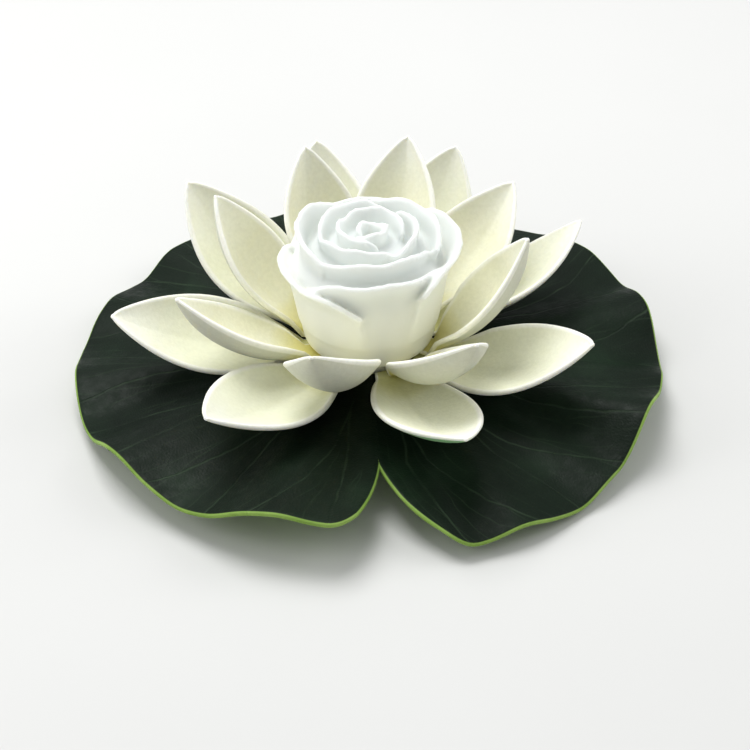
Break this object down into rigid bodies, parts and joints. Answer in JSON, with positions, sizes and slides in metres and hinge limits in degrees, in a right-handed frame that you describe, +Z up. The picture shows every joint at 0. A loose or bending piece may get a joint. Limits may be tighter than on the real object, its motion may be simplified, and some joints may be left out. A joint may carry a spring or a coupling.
{
  "type": "floating pool light",
  "caption": "Floating lotus light: a frosted rose lamp in rings of foam petals on a round notched foam leaf, over a sealed base with coin cell, circuit board and slide switch.",
  "frame": {"origin": "on the lamp's axis, in the plane of the base's rim, which stands on a table or hangs just under the water's surface", "axes": "+Z up along the lamp's axis, -Y towards the notch in the leaf, +X to the right seen from the notch"},
  "size_m": [0.179, 0.178, 0.0603],
  "materials": {
    "leaf_foam": "satin",
    "lower_petal_foam": "matte",
    "upper_petal_foam": "matte",
    "frosted_shade": "satin",
    "base_plastic": "satin",
    "cover_plastic": "matte",
    "seal_rubber": "matte",
    "steel": "brushed",
    "cell_steel": "satin",
    "contact_brass": "satin",
    "board_laminate": "satin",
    "black_plastic": "matte",
    "lens_epoxy": "gloss",
    "tinned_lead": "satin",
    "slider_plastic": "matte"
  },
  "bodies": {
    "lamp": {"leaf_pad": "leaf_foam", "lower_petal_1": "lower_petal_foam", "lower_petal_2": "lower_petal_foam", "lower_petal_3": "lower_petal_foam", "lower_petal_4": "lower_petal_foam", "lower_petal_5": "lower_petal_foam", "lower_petal_6": "lower_petal_foam", "lower_petal_7": "lower_petal_foam", "lower_petal_8": "lower_petal_foam", "upper_petal_1": "upper_petal_foam", "upper_petal_2": "upper_petal_foam", "upper_petal_3": "upper_petal_foam", "upper_petal_4": "upper_petal_foam", "upper_petal_5": "upper_petal_foam", "upper_petal_6": "upper_petal_foam", "upper_petal_7": "upper_petal_foam", "upper_petal_8": "upper_petal_foam", "rose_shade": "frosted_shade", "base_housing": "base_plastic", "bottom_cover": "cover_plastic", "cover_seal": "seal_rubber", "neck_seal": "seal_rubber", "cover_screw_1": "steel", "cover_screw_2": "steel", "cover_screw_3": "steel", "positive_contact": "contact_brass", "negative_contact": "contact_brass", "circuit_board": "board_laminate", "series_resistor": "black_plastic", "led_lens": "lens_epoxy", "led_lead_anode": "tinned_lead", "led_lead_cathode": "tinned_lead", "switch_body": "black_plastic"},
    "battery_hatch": {"battery_door": "cover_plastic", "door_seal": "seal_rubber", "door_screw": "steel", "coin_cell": "cell_steel"},
    "switch_knob": {"switch_slider": "slider_plastic"}
  },
  "joints": [
    {"name": "battery_door_out", "type": "slide", "parent": "lamp", "child": "battery_hatch", "axis": [0, 0, -1], "range_m": [0, 0.02]},
    {"name": "switch_slide", "type": "slide", "parent": "lamp", "child": "switch_knob", "axis": [0, 1, 0], "range_m": [0, 0.002]}
  ]
}
